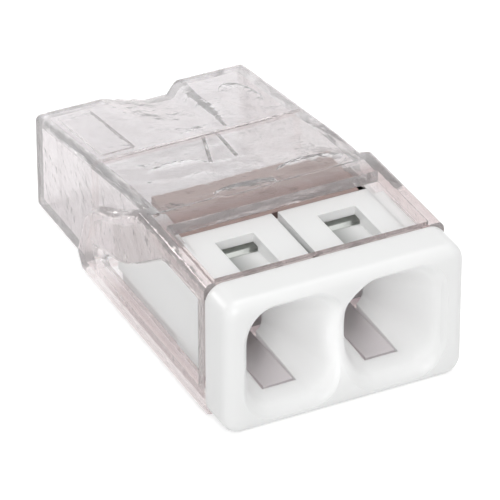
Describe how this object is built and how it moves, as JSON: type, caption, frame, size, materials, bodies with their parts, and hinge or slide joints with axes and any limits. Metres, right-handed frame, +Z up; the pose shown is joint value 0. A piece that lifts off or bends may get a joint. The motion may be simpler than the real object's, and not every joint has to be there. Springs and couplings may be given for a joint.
{
  "type": "push-in wire connector",
  "caption": "Compact splicing connector for solid wires: clear clip-over housing on a white insert with wire funnels, a current bar and leaf springs that grip each wire.",
  "frame": {"origin": "middle of the footprint, on the underside", "axes": "+Y from the wire entries to the closed rear, +X to the right seen from the front, +Z up"},
  "size_m": [0.01, 0.0182, 0.0058],
  "materials": {
    "clear_plastic": "clear with a faint mauve tint",
    "white_plastic": "satin white moulding",
    "tinned_copper": "satin tin plate",
    "spring_steel": "bright rolled strip"
  },
  "bodies": {
    "connector": {"clear_housing": "clear_plastic", "wire_entry_insert": "white_plastic", "current_bar": "tinned_copper", "left_spring_leg": "spring_steel", "right_spring_leg": "spring_steel"},
    "left_tongue": {"left_spring_tongue": "spring_steel"},
    "right_tongue": {"right_spring_tongue": "spring_steel"}
  },
  "joints": [
    {"name": "left_tongue_lift", "type": "hinge", "parent": "connector", "child": "left_tongue", "pos_m": [-0.00215, -0.0036, 0.0041], "axis": [1, 0, 0], "range_deg": [0, 30], "stiffness_Nm_per_rad": 0.05, "springref_deg": -8.59},
    {"name": "right_tongue_lift", "type": "hinge", "parent": "connector", "child": "right_tongue", "pos_m": [0.00215, -0.0036, 0.0041], "axis": [1, 0, 0], "range_deg": [0, 30], "stiffness_Nm_per_rad": 0.05, "springref_deg": -8.59}
  ]
}
